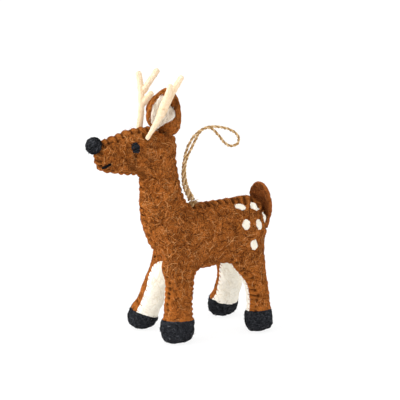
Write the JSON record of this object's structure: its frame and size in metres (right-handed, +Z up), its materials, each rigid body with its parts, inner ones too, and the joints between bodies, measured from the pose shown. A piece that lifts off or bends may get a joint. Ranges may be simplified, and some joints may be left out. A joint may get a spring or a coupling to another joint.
{
  "type": "felt christmas ornament",
  "caption": "Stuffed wool-felt deer standing on felt hooves, with rolled felt antlers, cupped ears and a twine loop on its back for hanging on a tree.",
  "frame": {"origin": "on the floor under the middle of the deer's bounding box, twine loop left out", "axes": "+Z up, -X toward the nose, -Y the deer's left side"},
  "size_m": [0.0924, 0.0422, 0.1267],
  "materials": {
    "brown_felt": "fuzzy wool felt",
    "dark_brown_felt": "fuzzy wool felt",
    "white_felt": "fuzzy wool felt",
    "lining_felt": "thin wool felt",
    "cream_felt": "rolled wool felt",
    "black_felt": "fuzzy wool felt",
    "black_thread": "stitched cotton thread",
    "stuffing": "loose polyester fibre fill",
    "jute_twine": "two-ply twisted twine"
  },
  "bodies": {
    "deer": {"left_side_panel": "brown_felt", "right_side_panel": "brown_felt", "belly_gusset": "white_felt", "torso_stuffing": "stuffing", "head_stuffing": "stuffing", "neck_stuffing": "stuffing", "left_front_leg_stuffing": "stuffing", "left_front_hoof": "black_felt", "right_front_leg_stuffing": "stuffing", "right_front_hoof": "black_felt", "left_hind_leg_stuffing": "stuffing", "left_hind_hoof": "black_felt", "right_hind_leg_stuffing": "stuffing", "right_hind_hoof": "black_felt", "left_ear": "brown_felt", "left_ear_lining": "lining_felt", "right_ear": "brown_felt", "right_ear_lining": "lining_felt", "left_antler_beam": "cream_felt", "left_antler_upper_tine": "cream_felt", "left_antler_lower_tine": "cream_felt", "right_antler_beam": "cream_felt", "right_antler_upper_tine": "cream_felt", "right_antler_lower_tine": "cream_felt", "nose": "black_felt", "left_eye": "black_thread", "right_eye": "black_thread", "mouth_thread": "black_thread", "tail": "dark_brown_felt", "left_spot_1": "white_felt", "left_spot_2": "white_felt", "left_spot_3": "white_felt", "left_spot_4": "white_felt", "left_spot_5": "white_felt", "left_spot_6": "white_felt", "right_spot_1": "white_felt", "right_spot_2": "white_felt", "right_spot_3": "white_felt", "right_spot_4": "white_felt", "right_spot_5": "white_felt", "right_spot_6": "white_felt"},
    "loop_knot": {"loop_knot": "jute_twine"},
    "hanging_loop": {"hanging_loop": "jute_twine"}
  },
  "joints": [
    {"name": "loop_side_swing", "type": "hinge", "parent": "deer", "child": "loop_knot", "pos_m": [0.00705, -0.00169, 0.0603], "axis": [1, 0, 0], "range_deg": [-60, 60]},
    {"name": "loop_fore_aft_swing", "type": "hinge", "parent": "loop_knot", "child": "hanging_loop", "pos_m": [0.00705, -0.00169, 0.0603], "axis": [0, 1, 0], "range_deg": [-6, 26]}
  ]
}
